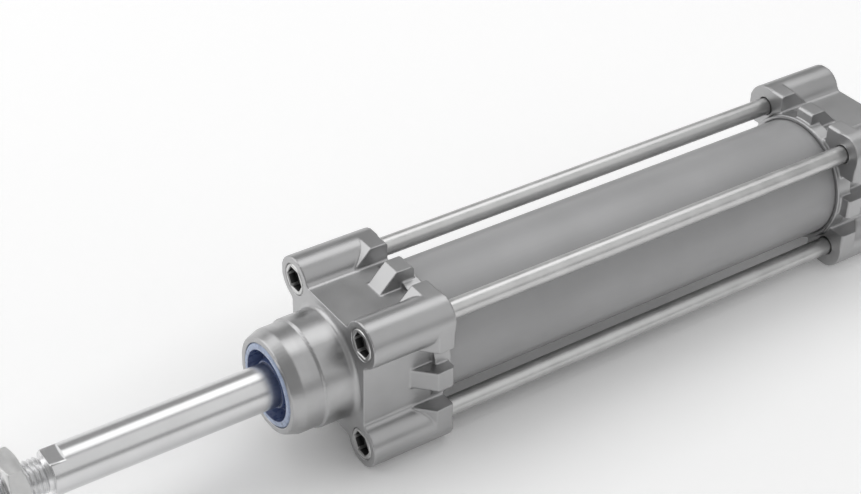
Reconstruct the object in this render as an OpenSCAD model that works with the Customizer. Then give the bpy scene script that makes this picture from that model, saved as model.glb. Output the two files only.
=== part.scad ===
// Double-acting pneumatic cylinder with four tie rods, a round barrel and adjustable end cushions.
// Millimetres. The axis is X, and +X is where the piston rod comes out. X = 0 is the front mounting face.

/* [Cylinder] */
// Inside diameter of the barrel
bore = 32; // [31:0.1:33]
// Travel of the piston
stroke = 100; // [60:1:400]
// How far the rod stands out of its pulled-in position
rod_travel_shown = 52; // [5:1:55]
// Wall of the barrel
tube_wall = 2; // [1.6:0.1:2.4]
// Distance between neighbouring tie rods
tie_pitch = 32.5; // [32:0.1:34]
// Diameter of a tie rod
tie_rod_d = 5.3; // [4.8:0.1:5.6]

/* [Caps] */
// Length of a cap along the axis, over its corner bosses
cap_length = 24.5; // [23.5:0.5:30]
// Radius of a corner boss
boss_r = 6.5; // [6.2:0.1:7.5]
// Depth of the flat panels below the outer square
panel_depth = 5.25; // [4.6:0.05:5.5]
// Radius where a corner boss runs into a panel
boss_fillet_r = 1.8; // [1:0.1:2.4]
// Reach of the barrel socket's rim beyond the ends of the corner bosses
rim_reach = 1.2; // [0.6:0.1:2]
// Wall of the socket round the barrel
socket_wall = 1.4; // [1:0.1:2]
// Depth of the barrel's seat below the rim
seat_depth = 4; // [3:0.1:5]
// Length of the spigot inside the barrel
spigot_length = 8.3; // [7.8:0.1:10]
// Width of the middle block on a panel
rib_width = 6; // [4:0.2:8]
// Length of the squared corners and the middle blocks at the barrel side, behind their slopes
block_length = 5.2; // [4:0.2:8]

/* [Nose and rod guide] */
// Diameter of the turned centring collar
collar_d = 30; // [29:0.1:31]
// Length of the turned part of the collar
collar_length = 9; // [6:0.5:11]
// Length of the whole nose in front of the mounting face
nose_length = 18; // [16:0.5:22]
// Diameter of the cast part of the nose
nose_d = 28.8; // [27:0.1:29]
// Length of the slope round the front of the nose
nose_bevel = 3.4; // [1:0.1:4]
// Outside diameter of the wiper
wiper_d = 23; // [21:0.1:24]
// Length of the wiper
wiper_length = 8.6; // [7:0.1:9]
// Length of the rod's bearing bush
bush_length = 14; // [12:0.5:15]
// Wall of the bearing bush
bush_wall = 1.9; // [1:0.1:2.2]
// Depth of the centring recess in the rear face
rear_recess_depth = 4; // [3:0.5:5]

/* [Rod] */
// Diameter of the piston rod
rod_d = 12; // [11.4:0.1:12.6]
// Distance from the mounting face to the rod's shoulder with the rod pulled in
rod_shoulder_out = 26; // [23:0.5:32]
// Nominal diameter of the rod's end thread
rod_thread_d = 10; // [9:0.5:10.5]
// Length of the rod's end thread
rod_thread_length = 22; // [16:1:30]
// Width across the rod's wrench flats
rod_flat_width = 10; // [9:0.1:11]
// Length of the wrench flats
rod_flat_length = 4; // [3:0.5:8]
// Width across the flats of the lock nut
nut_across = 17; // [15:0.5:19]
// Thickness of the lock nut
nut_height = 5; // [4:0.5:8]
// Gap between the rod's shoulder and the lock nut
nut_gap = 6.5; // [0:0.5:8]

/* [Piston] */
// Length of the piston with its bumpers
piston_length = 29.8; // [28:0.2:36]
// Thickness of a rubber bumper
bumper_height = 1.5; // [1:0.1:2.5]
// Outside diameter of a bumper
bumper_d = 26; // [22:0.5:28]
// Width of a lip seal
lip_seal_width = 3.3; // [2.5:0.1:4]
// Depth of a lip seal's groove
lip_seal_depth = 3.6; // [3:0.1:4]
// Width of the guide ring
guide_width = 9.8; // [7:0.1:10.5]
// Thickness of the guide ring
guide_wall = 1.5; // [1:0.1:1.8]
// Width of the magnet ring
magnet_width = 5.8; // [4:0.1:7]
// Outside diameter of the magnet ring
magnet_d = 25; // [22:0.1:26]
// Diameter of the rod where it carries the piston
spindle_d = 9.6; // [9:0.1:9.8]

/* [Cushions] */
// Diameter of a cushion sleeve
sleeve_d = 16; // [15:0.1:16.4]
// Length of a cushion sleeve in front of the piston
sleeve_length = 20; // [14:0.5:20.5]
// Diameter of the cushion chamber
chamber_d = 18.4; // [17.6:0.1:19]
// Width of a cushion seal
cushion_seal_width = 3; // [2:0.1:3.4]
// Diameter of a cushion screw
screw_d = 5; // [4:0.1:5.4]
// Distance from the end of the barrel to a cushion screw
screw_inset = 3.5; // [3.4:0.1:5]
// Height of a cushion screw over the axis
screw_z = 7; // [6.6:0.1:7.4]

/* [Ports and fasteners] */
// Diameter of a port's thread
port_d = 8.8; // [8:0.1:9.6]
// Depth of a port's thread
port_depth = 8; // [6:0.5:9]
// Distance from the middle of the cap's length to a port, towards the mounting face
port_offset = 0; // [0:0.1:1]
// Diameter of the raised pad round a port
port_pad_d = 15; // [13:0.5:16]
// Diameter of a tie-rod nut
tie_nut_d = 8.8; // [8:0.1:9]
// Length of a tie-rod nut
tie_nut_length = 15; // [12:0.5:16]
// Diameter of a tie-rod nut's mounting thread
mount_thread_d = 5; // [4.6:0.1:5.4]
// Depth of a tie-rod nut's mounting thread
mount_thread_depth = 10; // [8:0.5:10]

/* [Fits] */
// Radial gap of a running fit
running_gap = 0.05; // [0.02:0.01:0.1]
// Gap round a fitted or loosely housed piece
seat_gap = 0.05; // [0.02:0.01:0.1]

/* [Hidden] */
$fn = 64;
eps = 0.5;
tie_off = tie_pitch / 2;
half_square = tie_off + boss_r;
panel_r = half_square - panel_depth;
bore_r = bore / 2;
tube_r = bore_r + tube_wall;
rod_r = rod_d / 2;
socket_r = tube_r + socket_wall;
rim_u = cap_length + rim_reach;
seat_u = rim_u - seat_depth;
spigot_r = bore_r - 2 * seat_gap;
spigot_u = seat_u + spigot_length;
end_play = 0.1;
body_length = 2 * (spigot_u + end_play) + piston_length + stroke;
collar_r = collar_d / 2;
nose_r = nose_d / 2;
collar_fillet_r = 1.5;
wiper_r = wiper_d / 2;
wiper_lip = 1.1;
wiper_rim = 1.7;
bush_r = rod_r + running_gap + bush_wall;
bush_front = nose_length - wiper_length - seat_gap - 1.4;
sleeve_r = sleeve_d / 2;
chamber_r = chamber_d / 2;
chamber_end_u = spigot_u - sleeve_length - 1;
mouth_r = sleeve_r + 0.5;
mouth_length = 1.5;
cushion_seal_r = chamber_r + 1.3;
cushion_seal_u = spigot_u - mouth_length - cushion_seal_width;
oring_cord = 1.7;
oring_mid_r = bore_r - seat_gap - oring_cord / 2;
oring_u = seat_u + 3.1;
oring_groove = oring_cord + 0.5;
block_overlap = 0.35;
block_inner = tie_off - boss_r - block_overlap;
block_start = cap_length - block_length;
block_foot = block_start - panel_depth;
block_bevel = 0.6;
screw_r = screw_d / 2;
screw_x = seat_u - screw_inset;
port_x = cap_length / 2 - port_offset;
screw_pad_r = screw_r + 1.4;
screw_face = panel_r + 2.6;
needle_r = screw_r * 0.45;
needle_end = 8.4;
screw_shank = 6.2;
screw_neck = 1.9;
screw_flange = 0.8;
screw_head_y = screw_face - 0.4;
screw_neck_y = screw_head_y - screw_shank;
screw_seat_y = screw_neck_y - screw_neck - screw_flange;
port_r = port_d / 2;
port_face = half_square - 0.35;
port_passage_r = 2;
port_chamfer = 0.7;
tie_r = tie_rod_d / 2;
tie_nut_r = tie_nut_d / 2;
tie_rod_grip = 4;
thread_r = rod_thread_d / 2;
thread_chamfer = 1;
thread_depth = 0.8;
thread_mid_r = thread_r - thread_depth / 2;
spindle_grip = 12;
spindle_r = spindle_d / 2;
piston_r = bore_r - 0.3;

// Places along X at the shown pose
rear_face = -body_length;
shoulder = rod_shoulder_out + rod_travel_shown;
piston_back = rear_face + spigot_u + end_play + rod_travel_shown;
piston_front = piston_back + piston_length;
piston_mid = (piston_front + piston_back) / 2;
half_front = piston_front - bumper_height;
half_back = piston_back + bumper_height;
seal_inset = 2.1;
front_seal_x = half_front - seal_inset - lip_seal_width;
rear_seal_x = half_back + seal_inset;
sleeve_front = piston_front + sleeve_length;
sleeve_back = piston_back - sleeve_length;
nut_back = shoulder + nut_gap;
nut_front = nut_back + nut_height;
spindle_end = half_back - spindle_grip;

corners = [[1, 1], [-1, 1], [-1, -1], [1, -1]];

// Extrudes a Y-Z outline along X
module along_x(x0, x1) {
    translate([x0, 0, 0]) rotate([90, 0, 90]) linear_extrude(x1 - x0) children();
}

// Extrudes an X-Z outline along Y
module along_y(y0, y1) {
    translate([0, y1, 0]) rotate([90, 0, 0]) linear_extrude(y1 - y0) children();
}

// Turns an outline of radius and X about the axis
module turned() {
    rotate([0, 90, 0]) rotate_extrude() children();
}

module bar(x0, x1, r) {
    translate([x0, 0, 0]) rotate([0, 90, 0]) cylinder(h = x1 - x0, r = r);
}

module ring(x0, x1, r_out, r_in) {
    turned() translate([r_in, x0]) square([r_out - r_in, x1 - x0]);
}

// Round ring of cord, on the axis
module cord_ring(x_mid, r_mid, cord_d) {
    turned() translate([r_mid, x_mid]) circle(d = cord_d);
}

// A hole or a plug across the cap, on the port side
module side_bar(u, z, y_deep, y_out, r) {
    translate([u, -y_deep, z]) rotate([90, 0, 0]) cylinder(h = y_out - y_deep, r = r);
}

module at_corners() {
    for (c = corners) translate([0, c[0] * tie_off, c[1] * tie_off]) children();
}

// Puts a cap made from its mounting face at u = 0 at the front or at the rear
module at_front() mirror([1, 0, 0]) children();
module at_rear() translate([rear_face, 0, 0]) children();

// Corner boss with the fillet that blends it into one of its two panels
module boss_outline() {
    span = boss_r + boss_fillet_r;
    rise = panel_r + boss_fillet_r - tie_off;
    run = sqrt(span * span - rise * rise);
    centre = [tie_off - run, panel_r + boss_fillet_r];
    touch = [tie_off - run * boss_r / span, tie_off + rise * boss_r / span];
    translate([tie_off, tie_off]) circle(r = boss_r);
    for (turn = [0, 1]) mirror([turn, -turn]) difference() {
        polygon([[centre[0], panel_r - eps], [tie_off, panel_r - eps], [tie_off, tie_off], touch, centre]);
        translate(centre) circle(r = boss_fillet_r);
    }
}

module cap_outline() {
    square(2 * panel_r, center = true);
    for (c = corners) scale([c[0], c[1]]) boss_outline();
}

// Side view of a raised block: a 45 degree slope from the panel, then level with the bosses
module block_outline() {
    polygon([[block_foot, panel_r - eps], [block_foot, panel_r], [block_start, half_square],
        [cap_length - block_bevel, half_square], [cap_length, half_square - block_bevel],
        [cap_length, panel_r - eps]]);
}

// Squared inner side of a corner boss on its two panels
module corner_block() {
    for (turn = [0, 1]) mirror([0, turn, -turn]) along_y(block_inner, tie_off) block_outline();
}

// Middle block of a panel
module rib() {
    along_y(-rib_width / 2, rib_width / 2) block_outline();
}

// Cap from its mounting face at u = 0 to the end of its spigot, with the port on -Y
module cap_casting() {
    difference() {
        union() {
            difference() {
                union() {
                    along_x(0, cap_length) cap_outline();
                    bar(seat_u - 1, rim_u, socket_r);
                    at_corners() bar(0, cap_length, boss_r);
                    for (c = corners) scale([1, c[0], c[1]]) corner_block();
                    for (turn = [-90, 0, 180]) rotate([turn, 0, 0]) rib();
                    side_bar(port_x, 0, panel_r - eps, port_face, port_pad_d / 2);
                    side_bar(screw_x, screw_z, panel_r - eps, screw_face, screw_pad_r);
                }
                bar(seat_u, rim_u + eps, tube_r + seat_gap);
            }
            bar(seat_u - eps, spigot_u, spigot_r);
        }
        // Cushion chamber, seal seat and mouth
        bar(chamber_end_u, spigot_u + eps, chamber_r);
        bar(cushion_seal_u - seat_gap, spigot_u + eps, cushion_seal_r + seat_gap);
        ring(oring_u - oring_groove / 2, oring_u + oring_groove / 2, bore_r + eps, oring_mid_r - oring_cord / 2 - seat_gap);
        // Tie rods and their nuts
        at_corners() bar(-eps, tie_nut_length, tie_nut_r + seat_gap);
        at_corners() bar(tie_nut_length - eps, cap_length + eps, tie_r + 0.15);
        // Port, and the needle's seat beside it
        side_bar(port_x, 0, port_face - port_depth, half_square + eps, port_r);
        side_bar(port_x, 0, chamber_r - 1, port_face - port_depth + eps, port_passage_r);
        translate([port_x, -port_face, 0]) rotate([90, 0, 0])
            translate([0, 0, -port_chamfer]) cylinder(h = port_chamfer + 0.01, r1 = port_r, r2 = port_r + port_chamfer);
        side_bar(screw_x, screw_z, screw_seat_y - 0.3, half_square + eps, screw_r + running_gap);
        side_bar(screw_x, screw_z, 3, half_square, needle_r + running_gap);
    }
    // Retaining mouth behind the cushion seal
    ring(spigot_u - mouth_length, spigot_u, cushion_seal_r + seat_gap + 0.1, mouth_r);
}

// Nose with the centring collar, in front of the mounting face
module nose() {
    turned() {
        translate([0, -eps]) square([collar_r, collar_length + eps]);
        translate([0, collar_length - eps]) square([nose_r, nose_length - nose_bevel - collar_length + eps]);
        polygon([[0, nose_length - nose_bevel - eps], [nose_r, nose_length - nose_bevel - eps],
            [nose_r, nose_length - nose_bevel], [nose_r - nose_bevel * 0.35, nose_length], [0, nose_length]]);
        translate([collar_r - 0.01, 0]) difference() {
            square(collar_fillet_r);
            translate([collar_fillet_r, collar_fillet_r]) circle(r = collar_fillet_r);
        }
    }
}

module front_cap() {
    color([0.62, 0.63, 0.64]) difference() {
        union() {
            at_front() cap_casting();
            nose();
        }
        bar(nose_length - wiper_length, nose_length + eps, wiper_r + seat_gap);
        bar(bush_front - bush_length, nose_length, bush_r + seat_gap);
        bar(-chamber_end_u - eps, nose_length, rod_r + 0.6);
    }
}

module rear_cap() {
    color([0.62, 0.63, 0.64]) at_rear() difference() {
        cap_casting();
        bar(-eps, rear_recess_depth, collar_r);
    }
}

module barrel_tube() {
    color([0.70, 0.71, 0.72]) ring(rear_face + seat_u, -seat_u, tube_r, bore_r);
}

module tie_rods() {
    reach = tie_nut_length - tie_rod_grip;
    color([0.82, 0.82, 0.83]) at_corners() bar(rear_face + reach, -reach, tie_r);
}

// Sleeve nut with the mounting thread at u = 0 and the tie rod's thread at its other end
module tie_rod_nuts() {
    at_corners() difference() {
        bar(0, tie_nut_length, tie_nut_r);
        bar(-eps, mount_thread_depth, mount_thread_d / 2);
        bar(tie_nut_length - tie_rod_grip, tie_nut_length + eps, tie_r + seat_gap);
    }
}

module front_tie_rod_nuts() {
    color([0.75, 0.75, 0.74]) at_front() tie_rod_nuts();
}

module rear_tie_rod_nuts() {
    color([0.75, 0.75, 0.74]) at_rear() tie_rod_nuts();
}

module front_barrel_o_ring() {
    color([0.08, 0.08, 0.08]) at_front() cord_ring(oring_u, oring_mid_r, oring_cord);
}

module rear_barrel_o_ring() {
    color([0.08, 0.08, 0.08]) at_rear() cord_ring(oring_u, oring_mid_r, oring_cord);
}

module rod_bearing_bush() {
    color([0.72, 0.52, 0.30]) ring(bush_front - bush_length, bush_front, bush_r, rod_r + running_gap);
}

// Wiper and rod seal in one: a rim, a groove and a lip that runs on the rod
module rod_wiper() {
    back = nose_length - wiper_length + seat_gap;
    front = nose_length + 0.2;
    lip_r = rod_r + running_gap;
    groove = front - 4.2;
    color([0.20, 0.33, 0.52]) turned()
        polygon([[lip_r + 0.35, back], [wiper_r, back], [wiper_r, front - 0.9], [wiper_r - 0.5, front],
            [wiper_r - wiper_rim, front], [wiper_r - wiper_rim - 1, groove], [lip_r + wiper_lip + 0.3, groove],
            [lip_r + 0.4, front - 1.1], [lip_r, front - 1.1], [lip_r, front - 1.5],
            [lip_r + 0.35, front - 2.4]]);
}

module cushion_seal() {
    ring(cushion_seal_u, cushion_seal_u + cushion_seal_width - seat_gap, cushion_seal_r, sleeve_r + running_gap);
}

module front_cushion_seal() {
    color([0.16, 0.17, 0.18]) at_front() cushion_seal();
}

module rear_cushion_seal() {
    color([0.16, 0.17, 0.18]) at_rear() cushion_seal();
}

// Needle screw with a slotted head, a neck for its O-ring and a pointed needle
module cushion_screw() {
    slot_depth = 1.1;
    difference() {
        union() {
            side_bar(screw_x, screw_z, screw_neck_y, screw_head_y, screw_r);
            side_bar(screw_x, screw_z, screw_neck_y - screw_neck, screw_neck_y + eps, screw_r - 1);
            side_bar(screw_x, screw_z, screw_seat_y, screw_seat_y + screw_flange, screw_r);
            side_bar(screw_x, screw_z, needle_end, screw_neck_y, needle_r);
            translate([screw_x, -needle_end, screw_z]) rotate([-90, 0, 0])
                cylinder(h = 1.6, r1 = needle_r, r2 = 0.3);
        }
        translate([screw_x - screw_d, -screw_face, screw_z - 0.4]) cube([2 * screw_d, screw_face - screw_head_y + slot_depth, 0.8]);
    }
}

module front_cushion_screw() {
    color([0.80, 0.68, 0.40]) at_front() cushion_screw();
}

module rear_cushion_screw() {
    color([0.80, 0.68, 0.40]) at_rear() cushion_screw();
}

module screw_o_ring() {
    cord = 0.85;
    translate([screw_x, screw_neck / 2 - screw_neck_y, screw_z]) rotate([90, 0, 0])
        rotate_extrude() translate([screw_r - cord / 2, 0]) circle(d = cord);
}

module front_screw_o_ring() {
    color([0.08, 0.08, 0.08]) at_front() screw_o_ring();
}

module rear_screw_o_ring() {
    color([0.08, 0.08, 0.08]) at_rear() screw_o_ring();
}

module lip_seal() {
    top = bore_r - running_gap;
    foot = piston_r - lip_seal_depth + running_gap;
    w = lip_seal_width - 2 * seat_gap;
    turned() polygon([[foot, 0], [top - 0.5, 0], [top - 0.3, w * 0.55], [top, w * 0.9], [top - 0.4, w],
        [top - 1.1, w * 0.55], [foot + 1.1, w * 0.55], [foot + 0.5, w], [foot, w]]);
}

module front_piston_seal() {
    color([0.25, 0.40, 0.34]) translate([front_seal_x + seat_gap, 0, 0]) lip_seal();
}

module rear_piston_seal() {
    color([0.25, 0.40, 0.34]) translate([rear_seal_x + lip_seal_width - seat_gap, 0, 0])
        mirror([1, 0, 0]) lip_seal();
}

module piston_guide_ring() {
    half = guide_width / 2 - seat_gap;
    color([0.93, 0.92, 0.88]) ring(piston_mid - half, piston_mid + half, bore_r - 1.5 * running_gap,
        piston_r - guide_wall + running_gap);
}

module piston_rod() {
    flat_off = rod_flat_width / 2;
    color([0.86, 0.87, 0.88]) difference() {
        union() {
            bar(sleeve_front, shoulder, rod_r);
            bar(shoulder - eps, nut_back, thread_r);
            bar(nut_back - eps, nut_front + eps, thread_mid_r);
            bar(nut_front, shoulder + rod_thread_length - thread_chamfer, thread_r);
            translate([shoulder + rod_thread_length - thread_chamfer, 0, 0]) rotate([0, 90, 0])
                cylinder(h = thread_chamfer, r1 = thread_r, r2 = thread_r - thread_chamfer);
            bar(spindle_end, sleeve_front + eps, spindle_r);
        }
        for (side = [-1, 1]) translate([shoulder - rod_flat_length, -rod_d, side * (flat_off + rod_r / 2) - rod_r / 2])
            cube([rod_flat_length + eps, 2 * rod_d, rod_r]);
    }
}

module rod_lock_nut() {
    corner_r = nut_across / 2 / cos(30);
    bevel = 0.9;
    color([0.80, 0.80, 0.80]) translate([nut_back, 0, 0]) intersection() {
        difference() {
            rotate([0, 90, 0]) cylinder(h = nut_height, r = corner_r, $fn = 6);
            bar(-eps, nut_height + eps, thread_mid_r + seat_gap);
        }
        turned() polygon([[0, 0], [corner_r - bevel * 1.4, 0], [corner_r, bevel * 0.8],
            [corner_r, nut_height - bevel * 0.8], [corner_r - bevel * 1.4, nut_height], [0, nut_height]]);
    }
}

// Sleeve that closes the cushion seal near the end of the stroke, with a sloped tip
module cushion_sleeve_outline(length, inner_r) {
    tip = 2.5;
    polygon([[inner_r, 0], [sleeve_r, 0], [sleeve_r, length - tip], [sleeve_r - 0.6, length], [inner_r, length]]);
}

module front_cushion_sleeve() {
    color([0.66, 0.67, 0.68]) translate([half_front, 0, 0]) turned()
        cushion_sleeve_outline(sleeve_front - half_front, spindle_r + seat_gap);
}

// The rear sleeve is also the nut that clamps the piston, turned by the socket in its end
module rear_cushion_sleeve() {
    length = half_back - sleeve_back;
    color([0.66, 0.67, 0.68]) translate([half_back, 0, 0]) mirror([1, 0, 0]) difference() {
        turned() cushion_sleeve_outline(length, 0);
        bar(-eps, half_back - spindle_end + 1, spindle_r + seat_gap);
        translate([length - 5, 0, 0]) rotate([0, 90, 0]) cylinder(h = 5 + eps, d = 8 / cos(30), $fn = 6);
    }
}

// Front half of the piston; the rear half is its mirror image
module piston_half(oring_seat) {
    length = half_front - piston_mid;
    guide_half = guide_width / 2;
    difference() {
        bar(0, length, piston_r);
        bar(-eps, length + eps, spindle_r + seat_gap);
        ring(-eps, guide_half, bore_r, piston_r - guide_wall);
        ring(-eps, magnet_width / 2 + seat_gap, magnet_d / 2 + seat_gap, spindle_r + 3);
        ring(length - seal_inset - lip_seal_width, length - seal_inset, bore_r, piston_r - lip_seal_depth);
        if (oring_seat) bar(length - 1.9, length + eps, spindle_r + 1.5);
    }
}

module front_piston_half() {
    color([0.70, 0.71, 0.72]) translate([piston_mid, 0, 0]) piston_half(true);
}

module rear_piston_half() {
    color([0.70, 0.71, 0.72]) translate([piston_mid, 0, 0]) mirror([1, 0, 0]) piston_half(false);
}

module magnet_ring() {
    half = magnet_width / 2;
    color([0.22, 0.22, 0.23]) ring(piston_mid - half, piston_mid + half, magnet_d / 2, spindle_r + 3 + seat_gap);
}

module front_bumper() {
    color([0.12, 0.12, 0.12]) ring(half_front, piston_front, bumper_d / 2, sleeve_r + 0.2);
}

module rear_bumper() {
    color([0.12, 0.12, 0.12]) ring(piston_back, half_back, bumper_d / 2, sleeve_r + 0.2);
}

module piston_o_ring() {
    cord = 1.35;
    color([0.08, 0.08, 0.08]) cord_ring(half_front - 0.95, spindle_r + seat_gap + cord / 2, cord);
}

front_cap();
rear_cap();
barrel_tube();
tie_rods();
front_tie_rod_nuts();
rear_tie_rod_nuts();
front_barrel_o_ring();
rear_barrel_o_ring();
rod_bearing_bush();
rod_wiper();
front_cushion_seal();
rear_cushion_seal();
front_cushion_screw();
rear_cushion_screw();
front_screw_o_ring();
rear_screw_o_ring();
front_piston_seal();
rear_piston_seal();
piston_guide_ring();
piston_rod();
rod_lock_nut();
front_cushion_sleeve();
rear_cushion_sleeve();
front_piston_half();
rear_piston_half();
magnet_ring();
front_bumper();
rear_bumper();
piston_o_ring();
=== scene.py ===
import math

import bmesh
import bpy
from bpy.props import FloatProperty, FloatVectorProperty, IntProperty, PointerProperty
from mathutils import Matrix, Vector


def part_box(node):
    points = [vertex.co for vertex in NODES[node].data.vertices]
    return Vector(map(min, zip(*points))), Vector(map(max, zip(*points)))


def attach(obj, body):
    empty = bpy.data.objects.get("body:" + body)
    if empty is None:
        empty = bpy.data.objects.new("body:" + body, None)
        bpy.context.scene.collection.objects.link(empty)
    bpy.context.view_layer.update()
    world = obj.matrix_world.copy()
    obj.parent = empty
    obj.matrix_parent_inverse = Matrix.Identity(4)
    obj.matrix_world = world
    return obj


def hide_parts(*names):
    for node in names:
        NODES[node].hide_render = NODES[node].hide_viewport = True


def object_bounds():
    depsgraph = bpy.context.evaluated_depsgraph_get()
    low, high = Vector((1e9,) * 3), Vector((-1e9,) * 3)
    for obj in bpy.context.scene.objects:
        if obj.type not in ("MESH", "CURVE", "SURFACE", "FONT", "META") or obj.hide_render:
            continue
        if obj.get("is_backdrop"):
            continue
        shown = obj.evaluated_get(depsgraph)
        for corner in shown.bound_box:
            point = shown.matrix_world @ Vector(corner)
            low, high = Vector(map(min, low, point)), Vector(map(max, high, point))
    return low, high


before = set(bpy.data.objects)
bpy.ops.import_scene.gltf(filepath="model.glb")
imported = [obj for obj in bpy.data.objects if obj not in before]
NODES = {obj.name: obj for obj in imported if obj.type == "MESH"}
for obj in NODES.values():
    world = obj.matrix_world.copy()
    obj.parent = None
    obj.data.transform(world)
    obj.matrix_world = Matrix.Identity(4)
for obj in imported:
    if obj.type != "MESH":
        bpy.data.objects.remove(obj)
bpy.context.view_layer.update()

bl_info = {
    "name": "Tie-rod air cylinder",
    "version": (1, 0, 0),
    "blender": (4, 5, 0),
    "location": "3D View > Sidebar > Air cylinder",
    "description": "Builds the visible pieces, finishes and studio of a tie-rod air cylinder",
    "category": "Object",
}

FULL_TURN = 2 * math.pi
MM = 0.001

# Measures of the solids that their boxes don't give
BARREL_WALL = 2 * MM
TIE_ROD_RADIUS = 2.65 * MM
SPIGOT_RADIUS = 15.95 * MM
REAR_RECESS_RADIUS = 15.1 * MM
PORT_FACE = 22.4 * MM
PORT_INSET = 12.25 * MM
ROD_THREAD_LENGTH = 22 * MM
ROD_FLAT_LENGTH = 4 * MM
ROD_FLAT_HALF = 5 * MM

# How meshes are closed, broken and threaded
HUB = 0.5 * MM
CORNER_SHARE = 0.45
TINY = 1e-7
THREAD_ROWS = 10
FLANK_SLOPE = 2.6
ROOT_FLAT = 0.2

# Lamps: name, place, aim, width, depth and watts
LAMPS = (
    ("overhead_lamp", (-0.42, -0.28, 1.13), (0.15, -0.28, 0.0), 0.8, 1.25, 4.1),
    ("near_lamp", (-0.58, 0.72, 0.72), (-0.58, 0.0, 0.0), 1.2, 1.1, 2.2),
    ("front_lamp", (0.75, -0.85, 0.85), (0.0, 0.0, 0.0), 1.5, 1.5, 8.8),
    ("back_lamp", (-0.48, -1.49, 0.25), (-0.05, 0.0, 0.0), 1.6, 0.5, 1.5),
)
SURROUNDINGS_GREY = 0.33
FLOOR_HALF = 3.0

CAMERA_PLACE = (0.177315, 0.299624, 0.283086)
CAMERA_RIGHT = (-0.82825, 0.55999, 0.02018)
CAMERA_FORWARD = (-0.46666, -0.66938, -0.57806)
CAMERA_LENS = 72.21
CAMERA_SENSOR = 36.0


# Sizes and colours

class CylinderSizes(bpy.types.PropertyGroup):
    casting_grain: FloatProperty(
        name="Casting detail", description="Edge length of the castings' working mesh",
        default=0.00025, min=0.00015, max=0.001, unit="LENGTH", precision=5)
    casting_rounding: IntProperty(
        name="Casting rounding", description="How many times the castings' edges are relaxed",
        default=5, min=0, max=20)
    casting_keep: FloatProperty(
        name="Casting faces kept", description="Share of the castings' faces that stays",
        default=0.3, min=0.05, max=1.0, subtype="FACTOR")
    edge_break: FloatProperty(
        name="Broken edge", description="Width of the broken edges on turned pieces",
        default=0.00015, min=0.0, max=0.0005, unit="LENGTH", precision=5)
    rod_thread_pitch: FloatProperty(
        name="Rod thread pitch", description="Pitch of the rod's end thread",
        default=0.00125, min=0.0005, max=0.002, unit="LENGTH", precision=5)
    mount_thread_pitch: FloatProperty(
        name="Mounting thread pitch", description="Pitch of the thread in the sleeve nuts",
        default=0.001, min=0.0005, max=0.002, unit="LENGTH", precision=5)
    port_thread_pitch: FloatProperty(
        name="Port thread pitch", description="Pitch of the thread in the air ports",
        default=0.000907, min=0.0005, max=0.002, unit="LENGTH", precision=6)
    round_segments: IntProperty(
        name="Segments", description="Segments round a large turned piece", default=160, min=48, max=256)


class CylinderColours(bpy.types.PropertyGroup):
    casting: FloatVectorProperty(
        name="Casting", description="Colour of the cast end caps",
        default=(0.455, 0.455, 0.458), min=0.0, max=1.0, subtype="COLOR")
    machined: FloatVectorProperty(
        name="Machined faces", description="Colour of the caps' turned and milled faces",
        default=(0.475, 0.475, 0.478), min=0.0, max=1.0, subtype="COLOR")
    barrel: FloatVectorProperty(
        name="Barrel", description="Colour of the anodised barrel tube",
        default=(0.405, 0.405, 0.41), min=0.0, max=1.0, subtype="COLOR")
    zinc: FloatVectorProperty(
        name="Zinc", description="Colour of the zinc-plated tie rods and nuts",
        default=(0.64, 0.64, 0.636), min=0.0, max=1.0, subtype="COLOR")
    chrome: FloatVectorProperty(
        name="Chrome", description="Colour of the chromed piston rod",
        default=(0.71, 0.71, 0.715), min=0.0, max=1.0, subtype="COLOR")
    # The wiper's dark blue carries painted shade: its blue is darkened to how the deep funnel looks in shade
    wiper: FloatVectorProperty(
        name="Wiper", description="Colour of the polyurethane rod wiper",
        default=(0.085, 0.12, 0.25), min=0.0, max=1.0, subtype="COLOR")
    # The rim's pale blue is a painted highlight, a lit copy of the wiper's own blue
    wiper_rim: FloatVectorProperty(
        name="Wiper rim", description="Colour of the wiper's polished rim",
        default=(0.44, 0.52, 0.70), min=0.0, max=1.0, subtype="COLOR")
    floor: FloatVectorProperty(
        name="Floor", description="Colour of the studio floor",
        default=(0.95, 0.95, 0.95), min=0.0, max=1.0, subtype="COLOR")


# Mesh making

def new_piece(name, mesh, material, body, replaced=()):
    """Links a mesh as a piece of the part, riding on its body."""
    piece = bpy.data.objects.new(name, mesh)
    bpy.context.scene.collection.objects.link(piece)
    if material is not None:
        mesh.materials.append(material)
    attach(piece, body)
    if replaced:
        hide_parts(*replaced)
    return piece


def shade(mesh, angle=35.0):
    mesh.shade_smooth()
    mesh.set_sharp_from_angle(angle=math.radians(angle))


def add_loft(work, rings, segments, place, close_start, close_end):
    """Joins rings of (distance along, radius) round a local X axis. A radius may depend on the angle."""
    loops = []
    for along, ring_radius in rings:
        loop = []
        for step in range(segments):
            turn = FULL_TURN * step / segments
            r = ring_radius(turn) if callable(ring_radius) else ring_radius
            loop.append(work.verts.new(place @ Vector((along, r * math.cos(turn), r * math.sin(turn)))))
        loops.append(loop)
    for first, second in zip(loops, loops[1:]):
        for step in range(segments):
            following = (step + 1) % segments
            work.faces.new((first[step], first[following], second[following], second[step]))
    for wanted, loop, along in ((close_start, loops[0], rings[0][0]), (close_end, loops[-1], rings[-1][0])):
        if wanted:
            middle = work.verts.new(place @ Vector((along, 0.0, 0.0)))
            for step in range(segments):
                work.faces.new((loop[step], loop[(step + 1) % segments], middle))
    return loops


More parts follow.
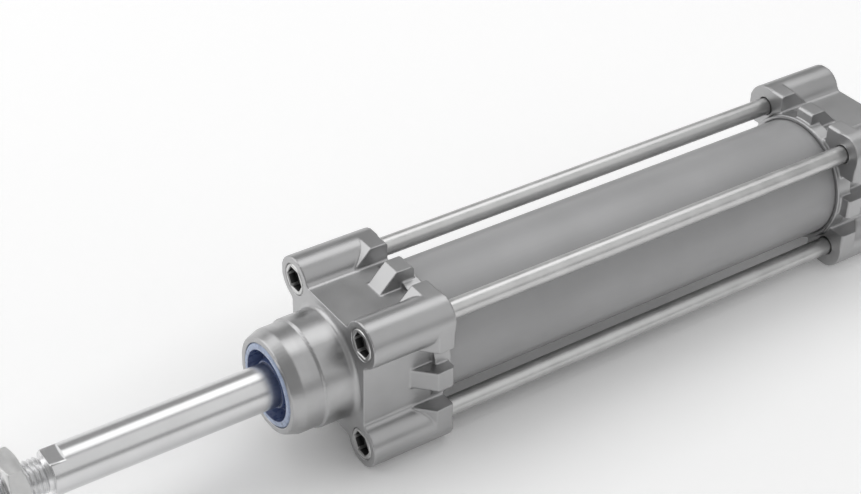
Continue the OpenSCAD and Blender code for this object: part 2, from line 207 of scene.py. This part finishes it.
def loft_mesh(name, lofts, segments=96, angle=35.0):
    """Makes one mesh from lofts of (rings, place, ends). Ends is open, start, end, both or ring."""
    work = bmesh.new()
    for rings, place, ends in lofts:
        path = list(rings)
        if ends == "ring":
            path.append(path[0])
        loops = add_loft(work, path, segments, place, ends in ("start", "both"), ends in ("end", "both"))
        if ends == "ring":
            bmesh.ops.remove_doubles(work, verts=loops[0] + loops[-1], dist=1e-9)
    bmesh.ops.recalc_face_normals(work, faces=work.faces[:])
    mesh = bpy.data.meshes.new(name)
    work.to_mesh(mesh)
    work.free()
    shade(mesh, angle)
    return mesh


def broken(profile, width, steps=3):
    """Rounds the corners of a turned profile of (along, radius) points by a small width."""
    result = [profile[0]]
    for before, corner, after in zip(profile, profile[1:], profile[2:]):
        p, q, s = Vector(before), Vector(corner), Vector(after)
        into, out = p - q, s - q
        reach = min(width, into.length * CORNER_SHARE, out.length * CORNER_SHARE)
        if reach < TINY:
            result.append(corner)
            continue
        start, end = q + into.normalized() * reach, q + out.normalized() * reach
        for step in range(steps + 1):
            t = step / steps
            point = start * (1 - t) ** 2 + q * 2 * t * (1 - t) + end * t ** 2
            result.append((point.x, point.y))
    result.append(profile[-1])
    return result


def broken_loop(profile, width, steps=3):
    """Rounds every corner of a closed turned profile."""
    return broken([profile[-1]] + profile + [profile[0]], width, steps)[1:-1]


def hexagon(across):
    """Radius of a hexagon with that width across its flats, as a function of the angle."""
    side = math.pi / 3

    def radius(turn):
        return across / 2 / math.cos(turn % side - side / 2)
    return radius


def thread_rings(start, end, core, crest, pitch, start_cone=0.0, end_cone=0.0):
    """Rings of a screw thread between two places. The cones draw it towards its core near its ends."""
    rings = []
    count = max(2, round((end - start) / pitch * THREAD_ROWS))
    height = crest - core
    for row in range(count + 1):
        along = start + (end - start) * row / count
        fade = 1.0
        if start_cone:
            fade = min(fade, (along - start) / start_cone)
        if end_cone:
            fade = min(fade, (end - along) / end_cone)

        def radius(turn, along=along, fade=fade):
            phase = (along / pitch - turn / FULL_TURN) % 1.0
            tooth = max(0.0, min(1.0, (0.5 - abs(phase - 0.5)) * FLANK_SLOPE - ROOT_FLAT))
            return core + height * min(tooth, fade)
        rings.append((along, radius))
    return rings


def along_x(centre):
    return Matrix.Translation(Vector(centre))


def into_side(centre):
    """Place whose local X points out of the port side, -Y."""
    return Matrix.Translation(Vector(centre)) @ Matrix.Rotation(-math.pi / 2, 4, "Z")


# Finishes

class Finish:
    """A procedural material round one Principled shader."""

    def __init__(self, name, metallic, roughness):
        self.material = bpy.data.materials.new(name)
        self.material.use_nodes = True
        self.tree = self.material.node_tree
        self.shader = self.tree.nodes["Principled BSDF"]
        self.shader.inputs["Metallic"].default_value = metallic
        self.shader.inputs["Roughness"].default_value = roughness
        self.shader.inputs["IOR"].default_value = 1.5
        self.coordinate = self.tree.nodes.new("ShaderNodeTexCoord")
        self.normal = None

    def node(self, kind, **settings):
        made = self.tree.nodes.new(kind)
        for key, value in settings.items():
            if key in made.inputs:
                made.inputs[key].default_value = value
            else:
                setattr(made, key, value)
        return made

    def link(self, source, target):
        self.tree.links.new(source, target)

    def calculate(self, operation, *values):
        made = self.node("ShaderNodeMath", operation=operation)
        for value, socket in zip(values, made.inputs):
            self.link(value, socket)
        return made.outputs[0]

    def noise(self, scale, stretch=(1.0, 1.0, 1.0), detail=3.0):
        mapping = self.node("ShaderNodeMapping")
        mapping.inputs["Scale"].default_value = stretch
        self.link(self.coordinate.outputs["Object"], mapping.inputs["Vector"])
        made = self.node("ShaderNodeTexNoise", Scale=scale, Detail=detail)
        self.link(mapping.outputs["Vector"], made.inputs["Vector"])
        return made.outputs["Fac"]

    def ramp(self, value, low, high, start=0.35, end=0.65):
        made = self.node("ShaderNodeMapRange")
        made.inputs["From Min"].default_value = start
        made.inputs["From Max"].default_value = end
        made.inputs["To Min"].default_value = low
        made.inputs["To Max"].default_value = high
        self.link(value, made.inputs["Value"])
        return made.outputs["Result"]

    def colour(self, value, dark, light):
        made = self.node("ShaderNodeMix", data_type="RGBA")
        made.inputs["A"].default_value = (*dark, 1.0)
        made.inputs["B"].default_value = (*light, 1.0)
        self.link(value, made.inputs["Factor"])
        self.link(made.outputs["Result"], self.shader.inputs["Base Color"])

    def roughen(self, value, low, high):
        self.link(self.ramp(value, low, high), self.shader.inputs["Roughness"])

    def bump(self, value, height, strength=1.0):
        made = self.node("ShaderNodeBump", Strength=strength, Distance=height)
        self.link(value, made.inputs["Height"])
        if self.normal is not None:
            self.link(self.normal, made.inputs["Normal"])
        self.normal = made.outputs["Normal"]
        self.link(self.normal, self.shader.inputs["Normal"])


def scaled(colour, factor):
    return tuple(min(1.0, channel * factor) for channel in colour)


def blasted_casting(colour):
    """Die-cast aluminium, blasted: fine grain, faint flow marks and uneven gloss."""
    finish = Finish("blasted_casting", 1.0, 0.36)
    flow = finish.noise(60.0, detail=4.0)
    grain = finish.noise(2600.0, detail=2.0)
    finish.colour(finish.ramp(flow, 0.0, 1.0), scaled(colour, 0.93), scaled(colour, 1.05))
    finish.roughen(flow, 0.33, 0.41)
    finish.bump(grain, 0.00002, 0.6)
    finish.bump(flow, 0.00015, 0.25)
    return finish.material


def machined_face(colour):
    """Turned aluminium: rings of tool marks round the cylinder's axis."""
    finish = Finish("machined_face", 1.0, 0.34)
    separate = finish.node("ShaderNodeSeparateXYZ")
    finish.link(finish.coordinate.outputs["Object"], separate.inputs["Vector"])
    squares = [finish.calculate("MULTIPLY", separate.outputs[axis], separate.outputs[axis]) for axis in ("Y", "Z")]
    radius = finish.calculate("SQRT", finish.calculate("ADD", *squares))
    combine = finish.node("ShaderNodeCombineXYZ")
    finish.link(separate.outputs["X"], combine.inputs["X"])
    finish.link(radius, combine.inputs["Y"])
    marks = finish.node("ShaderNodeTexNoise", Scale=6000.0, Detail=1.0)
    finish.link(combine.outputs["Vector"], marks.inputs["Vector"])
    cloud = finish.noise(140.0, detail=2.0)
    finish.colour(finish.ramp(cloud, 0.0, 1.0), scaled(colour, 0.95), scaled(colour, 1.04))
    finish.roughen(marks.outputs["Fac"], 0.30, 0.37)
    finish.bump(marks.outputs["Fac"], 0.000004, 0.4)
    return finish.material


def anodised_barrel(colour):
    """Drawn tube: faint lines along its length under a satin anodised skin."""
    finish = Finish("anodised_barrel", 0.2, 0.5)
    finish.shader.inputs["Coat Weight"].default_value = 0.3
    finish.shader.inputs["Coat Roughness"].default_value = 0.3
    lines = finish.noise(1.0, stretch=(30.0, 2400.0, 2400.0), detail=3.0)
    cloud = finish.noise(45.0, detail=3.0)
    finish.colour(finish.ramp(cloud, 0.0, 1.0), scaled(colour, 0.96), scaled(colour, 1.04))
    finish.roughen(lines, 0.46, 0.54)
    finish.bump(lines, 0.000008, 0.5)
    return finish.material


def zinc_plate(colour):
    """Bright zinc on drawn steel: thin lines along the rod and a slight cloudiness."""
    finish = Finish("zinc_plate", 1.0, 0.36)
    lines = finish.noise(1.0, stretch=(25.0, 5200.0, 5200.0), detail=2.0)
    cloud = finish.noise(160.0, detail=3.0)
    finish.colour(finish.ramp(cloud, 0.0, 1.0), scaled(colour, 0.92), scaled(colour, 1.04))
    finish.roughen(cloud, 0.33, 0.40)
    finish.bump(lines, 0.000002, 0.3)
    return finish.material


def hard_chrome(colour):
    """Ground and chromed rod: nearly a mirror, with hair lines round it."""
    finish = Finish("hard_chrome", 1.0, 0.2)
    lines = finish.noise(1.0, stretch=(9000.0, 200.0, 200.0), detail=2.0)
    cloud = finish.noise(90.0, detail=2.0)
    finish.colour(finish.ramp(cloud, 0.0, 1.0), scaled(colour, 0.97), scaled(colour, 1.02))
    finish.roughen(lines, 0.25, 0.27)
    finish.bump(lines, 0.000002, 0.05)
    return finish.material


def moulded_rubber(name, colour, roughness, mottle=0.08):
    """A moulded elastomer with a slightly uneven skin."""
    finish = Finish(name, 0.0, roughness)
    cloud = finish.noise(700.0, detail=3.0)
    finish.colour(finish.ramp(cloud, 0.0, 1.0), scaled(colour, 1 - mottle), scaled(colour, 1 + mottle))
    finish.roughen(cloud, max(0.05, roughness - 0.06), roughness + 0.06)
    finish.bump(cloud, 0.00001, 0.4)
    return finish.material


def turned_metal(name, colour, roughness):
    """Turned bar stock: fine marks round the X axis."""
    finish = Finish(name, 1.0, roughness)
    lines = finish.noise(1.0, stretch=(5000.0, 150.0, 150.0), detail=2.0)
    cloud = finish.noise(200.0, detail=3.0)
    finish.colour(finish.ramp(cloud, 0.0, 1.0), scaled(colour, 0.92), scaled(colour, 1.05))
    finish.roughen(lines, roughness - 0.05, roughness + 0.06)
    finish.bump(lines, 0.000005, 0.4)
    return finish.material


FINISHES = {}


def finish(kind, maker, *details):
    """Makes a finish once and hands it to every piece that wears it."""
    if kind not in FINISHES:
        FINISHES[kind] = maker(*details)
    return FINISHES[kind]


def dress(node, material):
    """Gives a CAD node that keeps its shape its finish."""
    slots = NODES[node].material_slots
    if not slots:
        raise RuntimeError("no material slot on " + node)
    for slot in slots:
        slot.material = material


# Pieces

def settings(context):
    return context.scene.cylinder_sizes, context.scene.cylinder_colours


def two_finishes(mesh, main, other, wears_other):
    """Gives a mesh its main finish, and another one to the faces whose centre and normal pass the test."""
    mesh.materials.append(main)
    mesh.materials.append(other)
    for face in mesh.polygons:
        face.material_index = 1 if wears_other(face.center, face.normal) else 0


def softened_casting(node, name, sizes):
    """A copy of a casting with every edge relaxed, as the die leaves it."""
    source = bpy.data.objects.new(name + "_source", NODES[node].data.copy())
    bpy.context.scene.collection.objects.link(source)
    weld = source.modifiers.new("weld", "WELD")
    weld.merge_threshold = 1e-6
    remesh = source.modifiers.new("remesh", "REMESH")
    remesh.mode = "VOXEL"
    remesh.voxel_size = sizes.casting_grain
    relax = source.modifiers.new("relax", "SMOOTH")
    relax.factor = 0.5
    relax.iterations = sizes.casting_rounding
    thin = source.modifiers.new("thin", "DECIMATE")
    thin.ratio = sizes.casting_keep
    evaluated = source.evaluated_get(bpy.context.evaluated_depsgraph_get())
    mesh = bpy.data.meshes.new_from_object(evaluated)
    mesh.name = name
    bpy.data.objects.remove(source)
    mesh.materials.clear()
    return mesh


class CYLINDER_OT_caps(bpy.types.Operator):
    """Make the two cast end caps with their machined faces"""
    bl_idname = "cylinder.caps"
    bl_label = "End caps"

    def execute(self, context):
        sizes, colours = settings(context)
        cast = finish("casting", blasted_casting, colours.casting)
        machined = finish("machined", machined_face, colours.machined)
        rear_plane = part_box("rear_cap")[0].x

        skin = 0.2 * MM

        def front_machined(centre, normal):
            inside_spigot = math.hypot(centre.y, centre.z) < SPIGOT_RADIUS
            return centre.x > -skin or (inside_spigot and normal.x < -0.5)

        def rear_machined(centre, normal):
            return centre.x < rear_plane + skin or math.hypot(centre.y, centre.z) < REAR_RECESS_RADIUS

        for node, test in (("front_cap", front_machined), ("rear_cap", rear_machined)):
            mesh = softened_casting(node, node + "_casting", sizes)
            two_finishes(mesh, cast, machined, test)
            mesh.shade_smooth()
            new_piece(node + "_casting", mesh, None, "barrel", (node,))
        return {"FINISHED"}


class CYLINDER_OT_barrel(bpy.types.Operator):
    """Make the barrel tube"""
    bl_idname = "cylinder.barrel"
    bl_label = "Barrel"

    def execute(self, context):
        sizes, colours = settings(context)
        low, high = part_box("barrel_tube")
        outer = high.z
        inner = outer - BARREL_WALL
        profile = [(low.x, inner), (low.x, outer), (high.x, outer), (high.x, inner)]
        rings = broken_loop(profile, sizes.edge_break)
        mesh = loft_mesh("barrel_tube_drawn", [(rings, Matrix.Identity(4), "ring")], sizes.round_segments)
        new_piece("barrel_tube_drawn", mesh, finish("barrel", anodised_barrel, colours.barrel),
                  "barrel", ("barrel_tube",))
        return {"FINISHED"}


def corner_places():
    """Centres of the four tie rods."""
    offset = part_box("tie_rods")[1].y - TIE_ROD_RADIUS
    return [(y, z) for y in (offset, -offset) for z in (offset, -offset)]


class CYLINDER_OT_tie_rods(bpy.types.Operator):
    """Make the tie rods and the threaded sleeve nuts at both of their ends"""
    bl_idname = "cylinder.tie_rods"
    bl_label = "Tie rods and sleeve nuts"

    def execute(self, context):
        sizes, colours = settings(context)
        zinc = finish("zinc", zinc_plate, colours.zinc)
        # The near-black inside the sleeve nuts is painted shade in their deep sockets and threads
        dark = finish("oiled", turned_metal, "oiled_thread", (0.10, 0.10, 0.10), 0.4)
        low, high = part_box("tie_rods")
        centres = corner_places()
        radius = high.y - centres[0][0]
        rod = broken([(low.x, HUB), (low.x, radius), (high.x, radius), (high.x, HUB)], sizes.edge_break)
        mesh = loft_mesh("tie_rods_plated", [(rod, along_x((0, y, z)), "both") for y, z in centres], 48)
        new_piece("tie_rods_plated", mesh, zinc, "barrel", ("tie_rods",))

        edge, hollow = 0.25 * MM, 3.35 * MM
        for node, name in (("front_tie_rod_nuts", "front_sleeve_nuts"), ("rear_tie_rod_nuts", "rear_sleeve_nuts")):
            low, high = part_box(node)
            length = high.x - low.x
            outer = high.y - centres[0][0]
            rings = self.sleeve_nut(length, outer, sizes)
            front = node.startswith("front")
            lofts = []
            for y, z in centres:
                mouth = Vector((high.x if front else low.x, y, z))
                flip = Matrix.Rotation(math.pi, 4, "Z") if front else Matrix.Identity(4)
                lofts.append((rings, Matrix.Translation(mouth) @ flip, "ring"))

            # Faces inside each nut's hollow wear the near-black painted shade
            def inside(centre, normal):
                off_axis = min(math.hypot(centre.y - y, centre.z - z) for y, z in centres)
                return off_axis < hollow and low.x + edge < centre.x < high.x - edge
            mesh = loft_mesh(name, lofts, 48)
            two_finishes(mesh, zinc, dark, inside)
            new_piece(name, mesh, None, "barrel", (node,))
        return {"FINISHED"}

    def sleeve_nut(self, length, outer, sizes):
        """Rings of a sleeve nut with its mouth at 0: hexagon socket, mounting thread and tie-rod hole."""
        socket_depth, core, crest, thread_end = 2.2 * MM, 2.5 * MM, 2.95 * MM, 10.0 * MM
        rod_hole, hole_start, drilling = 2.7 * MM, length - 4 * MM, 1.0 * MM
        socket = hexagon(6.2 * MM)
        edge = 0.3 * MM

        def mouth(turn):
            return socket(turn) + edge * 0.6
        rings = [(0.0, outer - edge), (0.0, mouth), (edge, socket), (socket_depth, socket), (socket_depth, crest)]
        rings += thread_rings(socket_depth + 0.05 * MM, thread_end, core, crest, sizes.mount_thread_pitch)
        rings += [(thread_end, drilling), (hole_start, drilling), (hole_start, rod_hole), (length, rod_hole),
                  (length, outer - edge), (length - edge, outer), (edge, outer)]
        return rings


class CYLINDER_OT_piston_rod(bpy.types.Operator):
    """Make the chromed piston rod with its wrench flats and end thread"""
    bl_idname = "cylinder.piston_rod"
    bl_label = "Piston rod"

    def execute(self, context):
        sizes, colours = settings(context)
        low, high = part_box("piston_rod")
        radius = high.y
        crest, core, spindle = 5 * MM, 4.25 * MM, 4.8 * MM
        shoulder = high.x - ROD_THREAD_LENGTH
        flats_start = shoulder - ROD_FLAT_LENGTH
        sleeve_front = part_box("front_cushion_sleeve")[1].x
        edge = 0.25 * MM

        def flatted(size):
            def at(turn):
                up = abs(math.sin(turn))
                return size if up * size <= ROD_FLAT_HALF else ROD_FLAT_HALF / up
            return at
        round_part = [(low.x, HUB), (low.x, spindle - edge), (low.x + edge, spindle), (sleeve_front, spindle),
                      (sleeve_front, radius), (flats_start, radius)]
        flats = [(flats_start, flatted(radius)), (shoulder - edge, flatted(radius)),
                 (shoulder, flatted(radius - edge)), (shoulder, crest - 0.5 * MM),
                 (shoulder + 0.9 * MM, crest - 0.7 * MM)]
        thread = thread_rings(shoulder + 1.0 * MM, high.x - 0.02 * MM, core, crest, sizes.rod_thread_pitch,
                              start_cone=0.8 * MM, end_cone=1.2 * MM)
        tip = [(high.x, core - 0.1 * MM), (high.x, HUB)]
        mesh = loft_mesh("piston_rod_chromed", [(round_part + flats + thread + tip, Matrix.Identity(4), "both")], 96)
        chrome = finish("chrome", hard_chrome, colours.chrome)
        rod_end = finish("rod_end", turned_metal, "turned_rod_end", scaled(colours.chrome, 1.1), 0.3)
        two_finishes(mesh, chrome, rod_end, lambda centre, normal: centre.x > shoulder - 0.1 * MM)
        new_piece("piston_rod_chromed", mesh, None, "rod_assembly", ("piston_rod",))
        return {"FINISHED"}


class CYLINDER_OT_lock_nut(bpy.types.Operator):
    """Make the lock nut on the rod's thread"""
    bl_idname = "cylinder.lock_nut"
    bl_label = "Lock nut"

    def execute(self, context):
        sizes, colours = settings(context)
        low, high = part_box("rod_lock_nut")
        across, corner = high.y - low.y, high.z
        outline = hexagon(across)
        hole, lead, thread_depth = 5.05 * MM, 0.4 * MM, 0.35 * MM
        chamfer, chamfer_slope, steps = across / 2 * 0.97, 0.55, 6

        def capped(limit):
            return lambda turn: min(outline(turn), limit)
        limits = [chamfer + (corner - chamfer) * step / steps for step in range(steps + 1)]
        bevels = [((limit - chamfer) * chamfer_slope, capped(limit)) for limit in limits]
        bore = thread_rings(low.x + lead, high.x - lead, hole, hole + thread_depth, sizes.rod_thread_pitch)
        rings = [(low.x, hole + lead)]
        rings += [(low.x + depth, radius) for depth, radius in bevels]
        rings += [(high.x - depth, radius) for depth, radius in reversed(bevels)]
        rings += [(high.x, hole + lead)] + bore[::-1]
        mesh = loft_mesh("rod_lock_nut_plated", [(rings, Matrix.Identity(4), "ring")], 120, 25.0)
        # The nut's zinc is made 1.35 times paler, a painted highlight of its lit hex faces
        plated = finish("nut", turned_metal, "plated_nut", scaled(colours.zinc, 1.35), 0.34)
        new_piece("rod_lock_nut_plated", mesh, plated, "rod_assembly", ("rod_lock_nut",))
        return {"FINISHED"}


class CYLINDER_OT_wiper(bpy.types.Operator):
    """Make the blue rod wiper with its rim, funnel and lip"""
    bl_idname = "cylinder.wiper"
    bl_label = "Rod wiper"

    def execute(self, context):
        colours = context.scene.cylinder_colours
        low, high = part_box("rod_wiper")
        outer, back, front = high.y, low.x, high.x
        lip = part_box("piston_rod")[1].y + 0.05 * MM
        rim, groove, lip_back = 1.7 * MM, front - 4.2 * MM, front - 1.1 * MM
        profile = [(back, lip + 0.35 * MM), (back, outer), (front - 0.6 * MM, outer), (front, outer - 0.5 * MM),
                   (front, outer - rim), (groove, outer - rim - 1.0 * MM), (groove, lip + 1.4 * MM),
                   (lip_back, lip + 0.4 * MM), (lip_back, lip), (front - 1.5 * MM, lip),
                   (front - 2.4 * MM, lip + 0.35 * MM)]
        rings = broken_loop(profile, 0.25 * MM, 4)

        # The front rim's faces wear the pale blue, a painted highlight
        def painted_highlight_faces(centre, normal):
            return centre.x > front - 0.7 * MM and math.hypot(centre.y, centre.z) > outer - rim
        mesh = loft_mesh("rod_wiper_moulded", [(rings, Matrix.Identity(4), "ring")], 128, 50.0)
        blue = finish("wiper", moulded_rubber, "blue_polyurethane", colours.wiper, 0.3)
        highlight_finish = finish("wiper_rim", moulded_rubber, "blue_polyurethane_rim", colours.wiper_rim, 0.3)
        two_finishes(mesh, blue, highlight_finish, painted_highlight_faces)
        new_piece("rod_wiper_moulded", mesh, None, "barrel", ("rod_wiper",))
        return {"FINISHED"}


class CYLINDER_OT_ports(bpy.types.Operator):
    """Make the threads in the two air ports"""
    bl_idname = "cylinder.ports"
    bl_label = "Air ports"

    def execute(self, context):
        sizes, colours = settings(context)
        machined = finish("machined", machined_face, colours.machined)
        deep, mouth = -7.8 * MM, -0.75 * MM
        core, crest, wall = 4.02 * MM, 4.38 * MM, 4.39 * MM
        rear_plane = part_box("rear_cap")[0].x
        for name, x in (("front_port_thread", -PORT_INSET), ("rear_port_thread", rear_plane + PORT_INSET)):
            thread = thread_rings(deep, mouth, core, crest, sizes.port_thread_pitch)
            back = [(mouth, wall), (deep, wall)]
            mesh = loft_mesh(name, [(thread + back, into_side((x, -PORT_FACE, 0.0)), "ring")], 72)
            new_piece(name, mesh, machined, "barrel")
        return {"FINISHED"}


class CYLINDER_OT_cushion_screws(bpy.types.Operator):
    """Give the two cushion screws their brass finish"""
    bl_idname = "cylinder.cushion_screws"
    bl_label = "Cushion screws"

    def execute(self, context):
        brass = finish("brass", turned_metal, "turned_brass", (0.72, 0.55, 0.27), 0.28)
        for node in ("front_cushion_screw", "rear_cushion_screw"):
            dress(node, brass)
        return {"FINISHED"}


class CYLINDER_OT_inner_pieces(bpy.types.Operator):
    """Give the bush, seals, piston and cushion sleeves their finishes"""
    bl_idname = "cylinder.inner_pieces"
    bl_label = "Inner pieces"

    def execute(self, context):
        black = finish("rubber", moulded_rubber, "black_rubber", (0.022, 0.022, 0.023), 0.5)
        green = finish("seal", moulded_rubber, "seal_polyurethane", (0.05, 0.13, 0.10), 0.38)
        ivory = finish("guide", moulded_rubber, "guide_plastic", (0.78, 0.76, 0.70), 0.42, 0.03)
        ferrite = finish("magnet", moulded_rubber, "bonded_magnet", (0.05, 0.05, 0.055), 0.55)
        bronze = finish("bronze", turned_metal, "sintered_bronze", (0.46, 0.28, 0.13), 0.42)
        steel = finish("steel", turned_metal, "turned_steel", (0.56, 0.56, 0.57), 0.25)
        piston = finish("piston", turned_metal, "turned_piston", (0.70, 0.70, 0.71), 0.28)
        worn = {
            "rod_bearing_bush": bronze, "front_cushion_sleeve": steel, "rear_cushion_sleeve": steel,
            "front_piston_half": piston, "rear_piston_half": piston, "magnet_ring": ferrite,
            "piston_guide_ring": ivory, "front_piston_seal": green, "rear_piston_seal": green,
            "front_barrel_o_ring": black, "rear_barrel_o_ring": black, "front_cushion_seal": black,
            "rear_cushion_seal": black, "front_screw_o_ring": black, "rear_screw_o_ring": black,
            "front_bumper": black, "rear_bumper": black, "piston_o_ring": black}
        for node, material in worn.items():
            dress(node, material)
        return {"FINISHED"}


# Studio

def soft_lamp(name, place, aim, width, depth, watts):
    """Hangs a rectangular area lamp that the camera doesn't see."""
    lamp = bpy.data.lights.new(name, "AREA")
    lamp.shape = "RECTANGLE"
    lamp.size = width
    lamp.size_y = depth
    lamp.energy = watts
    holder = bpy.data.objects.new(name, lamp)
    bpy.context.scene.collection.objects.link(holder)
    holder.location = place
    holder.rotation_euler = (Vector(aim) - Vector(place)).to_track_quat("-Z", "Y").to_euler()
    holder.visible_camera = False


class CYLINDER_OT_studio(bpy.types.Operator):
    """Make the floor, the soft lamps, the surroundings and the camera"""
    bl_idname = "cylinder.studio"
    bl_label = "Studio"

    def execute(self, context):
        scene, colours = context.scene, context.scene.cylinder_colours
        scene.view_settings.view_transform = "Standard"
        self.floor(colours)
        self.surroundings(scene)
        for lamp in LAMPS:
            soft_lamp(*lamp)
        self.camera(scene)
        return {"FINISHED"}

    def floor(self, colours):
        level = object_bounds()[0][2]
        work = bmesh.new()
        signs = ((-1, -1), (1, -1), (1, 1), (-1, 1))
        work.faces.new([work.verts.new((x * FLOOR_HALF, y * FLOOR_HALF, level)) for x, y in signs])
        mesh = bpy.data.meshes.new("studio_floor")
        work.to_mesh(mesh)
        work.free()
        floor = bpy.data.objects.new("studio_floor", mesh)
        bpy.context.scene.collection.objects.link(floor)
        paper = Finish("studio_paper", 0.0, 0.9)
        paper.shader.inputs["Specular IOR Level"].default_value = 0.0
        fibre = paper.noise(300.0)
        paper.colour(paper.ramp(fibre, 0.0, 1.0), scaled(colours.floor, 0.995), scaled(colours.floor, 1.005))
        self.whiten_with_painted_shadow(paper)
        mesh.materials.append(paper.material)
        floor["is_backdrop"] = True

    def whiten_with_painted_shadow(self, paper):
        """Lifts the paper towards white, for the camera and in what the metal shows; the lift is smaller under the
        cylinder, a painted shadow there.
        """
        around = paper.node("ShaderNodeMapping")
        around.inputs["Scale"].default_value = (5.0, 16.0, 0.0)
        around.inputs["Location"].default_value = (0.25, 0.0, 0.0)
        paper.link(paper.coordinate.outputs["Object"], around.inputs["Vector"])
        shadow_gradient = paper.node("ShaderNodeTexGradient", gradient_type="SPHERICAL")
        paper.link(around.outputs["Vector"], shadow_gradient.inputs["Vector"])
        # The far lift whitens the floor evenly; the smaller lift under the cylinder is painted shadow
        far_lift, floor_painted_shadow_lift = 0.19, 0.05
        lift = paper.ramp(shadow_gradient.outputs["Fac"], far_lift, floor_painted_shadow_lift, 0.0, 0.7)
        path = paper.node("ShaderNodeLightPath")
        seen = path.outputs["Is Camera Ray"]
        for kind in ("Is Glossy Ray", "Is Transmission Ray"):
            seen = paper.calculate("MAXIMUM", seen, path.outputs[kind])
        paper.shader.inputs["Emission Color"].default_value = (1.0, 1.0, 1.0, 1.0)
        paper.link(paper.calculate("MULTIPLY", seen, lift), paper.shader.inputs["Emission Strength"])

    def surroundings(self, scene):
        world = bpy.data.worlds.new("studio_surroundings")
        scene.world = world
        world.use_nodes = True
        background = world.node_tree.nodes["Background"]
        background.inputs["Color"].default_value = (*[SURROUNDINGS_GREY] * 3, 1.0)
        background.inputs["Strength"].default_value = 1.0

    def camera(self, scene):
        data = bpy.data.cameras.new("view_camera")
        data.sensor_fit = "HORIZONTAL"
        data.sensor_width = CAMERA_SENSOR
        data.lens = CAMERA_LENS
        data.clip_start, data.clip_end = 0.01, 20.0
        camera = bpy.data.objects.new("view_camera", data)
        scene.collection.objects.link(camera)
        right, forward = Vector(CAMERA_RIGHT), Vector(CAMERA_FORWARD)
        turned = Matrix((right, right.cross(forward), -forward)).transposed()
        camera.matrix_world = Matrix.Translation(CAMERA_PLACE) @ turned.to_4x4()
        scene.camera = camera


PIECE_OPERATORS = (
    CYLINDER_OT_caps, CYLINDER_OT_barrel, CYLINDER_OT_tie_rods, CYLINDER_OT_piston_rod, CYLINDER_OT_lock_nut,
    CYLINDER_OT_wiper, CYLINDER_OT_ports, CYLINDER_OT_cushion_screws, CYLINDER_OT_inner_pieces, CYLINDER_OT_studio)


class CYLINDER_PT_panel(bpy.types.Panel):
    """Lists the cylinder's sizes, colours and pieces"""
    bl_idname = "CYLINDER_PT_panel"
    bl_label = "Air cylinder"
    bl_space_type = "VIEW_3D"
    bl_region_type = "UI"
    bl_category = "Air cylinder"

    def draw(self, context):
        for group in (context.scene.cylinder_sizes, context.scene.cylinder_colours):
            box = self.layout.box()
            for name in group.__annotations__:
                box.prop(group, name)
        for operator in PIECE_OPERATORS:
            self.layout.operator(operator.bl_idname)


CLASSES = (CylinderSizes, CylinderColours) + PIECE_OPERATORS + (CYLINDER_PT_panel,)


def register():
    for cls in CLASSES:
        bpy.utils.register_class(cls)
    bpy.types.Scene.cylinder_sizes = PointerProperty(type=CylinderSizes)
    bpy.types.Scene.cylinder_colours = PointerProperty(type=CylinderColours)


def unregister():
    del bpy.types.Scene.cylinder_colours
    del bpy.types.Scene.cylinder_sizes
    for cls in reversed(CLASSES):
        bpy.utils.unregister_class(cls)


def main():
    register()
    bpy.ops.cylinder.caps()
    bpy.ops.cylinder.barrel()
    bpy.ops.cylinder.tie_rods()
    bpy.ops.cylinder.piston_rod()
    bpy.ops.cylinder.lock_nut()
    bpy.ops.cylinder.wiper()
    bpy.ops.cylinder.ports()
    bpy.ops.cylinder.cushion_screws()
    bpy.ops.cylinder.inner_pieces()
    bpy.ops.cylinder.studio()
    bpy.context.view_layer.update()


if __name__ == "__main__":
    main()
